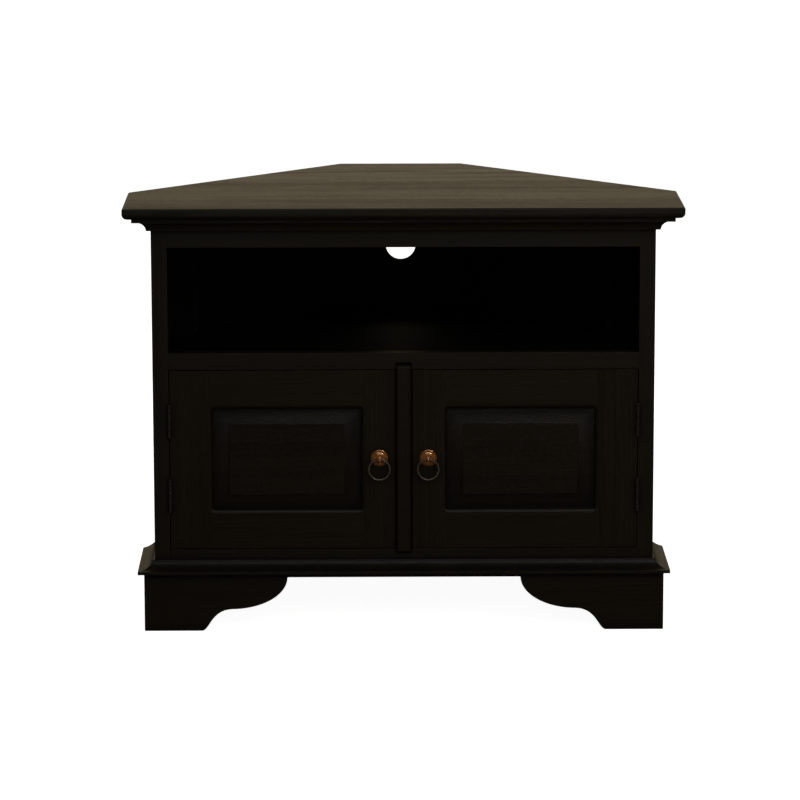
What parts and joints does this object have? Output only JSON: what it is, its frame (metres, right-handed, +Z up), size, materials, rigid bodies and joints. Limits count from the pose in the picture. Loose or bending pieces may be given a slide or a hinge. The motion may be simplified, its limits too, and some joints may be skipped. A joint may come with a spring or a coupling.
{
  "type": "corner tv cabinet",
  "caption": "Five-sided corner cabinet for a television in dark stained wood, with an open bay over a cupboard, panelled doors, ring pulls and scrolled bracket feet.",
  "frame": {"origin": "on the floor, under the middle of the top board's length and depth", "axes": "+X to the viewer's right along the front, +Y from the front to the corner of the room, +Z up"},
  "size_m": [1, 0.595, 0.777],
  "materials": {
    "dark_wood": "near-black brown stain under a satin lacquer, faint grain",
    "panel_wood": "near-black brown stain under a satin lacquer, grain across the panel",
    "inner_wood": "dark stain without lacquer, matt",
    "pull_metal": "copper-toned antique brass, polished on the dome and dark in the hollows",
    "ring_metal": "worn antique brass, paler and greyer than the rose",
    "hinge_metal": "dark antique brass",
    "catch_metal": "dull plated steel"
  },
  "bodies": {
    "cabinet": {"top_board": "dark_wood", "cornice_front": "dark_wood", "cornice_left": "dark_wood", "cornice_right": "dark_wood", "front_stile_left": "dark_wood", "front_stile_right": "dark_wood", "top_rail": "dark_wood", "middle_rail": "dark_wood", "bottom_rail": "dark_wood", "centre_stile": "dark_wood", "side_panel_left": "dark_wood", "side_panel_right": "dark_wood", "angled_panel_left": "inner_wood", "angled_panel_right": "inner_wood", "side_post_left": "inner_wood", "side_post_right": "inner_wood", "back_post_left": "inner_wood", "back_post_right": "inner_wood", "back_panel": "inner_wood", "middle_shelf": "inner_wood", "bottom_board": "inner_wood", "plinth_moulding_front": "dark_wood", "plinth_moulding_left": "dark_wood", "plinth_moulding_right": "dark_wood", "plinth_front": "dark_wood", "plinth_side_left": "dark_wood", "plinth_side_right": "dark_wood", "plinth_angled_left": "inner_wood", "plinth_angled_right": "inner_wood", "plinth_back": "inner_wood", "corner_block_left": "inner_wood", "corner_block_right": "inner_wood", "catch_left": "catch_metal", "catch_right": "catch_metal", "lower_hinge_frame_left": "hinge_metal", "lower_hinge_frame_right": "hinge_metal", "upper_hinge_frame_left": "hinge_metal", "upper_hinge_frame_right": "hinge_metal"},
    "left_door": {"door_outer_stile_left": "dark_wood", "door_inner_stile_left": "dark_wood", "door_top_rail_left": "dark_wood", "door_bottom_rail_left": "dark_wood", "door_panel_left": "panel_wood", "strike_left": "catch_metal", "rose_left": "pull_metal", "ring_post_left": "pull_metal", "lower_hinge_door_left": "hinge_metal", "upper_hinge_door_left": "hinge_metal"},
    "right_door": {"door_outer_stile_right": "dark_wood", "door_inner_stile_right": "dark_wood", "door_top_rail_right": "dark_wood", "door_bottom_rail_right": "dark_wood", "door_panel_right": "panel_wood", "strike_right": "catch_metal", "rose_right": "pull_metal", "ring_post_right": "pull_metal", "lower_hinge_door_right": "hinge_metal", "upper_hinge_door_right": "hinge_metal"},
    "left_ring": {"pull_ring_left": "ring_metal"},
    "right_ring": {"pull_ring_right": "ring_metal"}
  },
  "joints": [
    {"name": "left_door_hinge", "type": "hinge", "parent": "cabinet", "child": "left_door", "pos_m": [-0.42225, -0.2518, 0.31575], "axis": [0, 0, -1], "range_deg": [0, 170]},
    {"name": "right_door_hinge", "type": "hinge", "parent": "cabinet", "child": "right_door", "pos_m": [0.42225, -0.2518, 0.31575], "axis": [0, 0, 1], "range_deg": [0, 170]},
    {"name": "left_ring_hinge", "type": "hinge", "parent": "left_door", "child": "left_ring", "pos_m": [-0.044, -0.26, 0.315], "axis": [-1, 0, 0], "range_deg": [-10, 165]},
    {"name": "right_ring_hinge", "type": "hinge", "parent": "right_door", "child": "right_ring", "pos_m": [0.044, -0.26, 0.315], "axis": [-1, 0, 0], "range_deg": [-10, 165]}
  ]
}
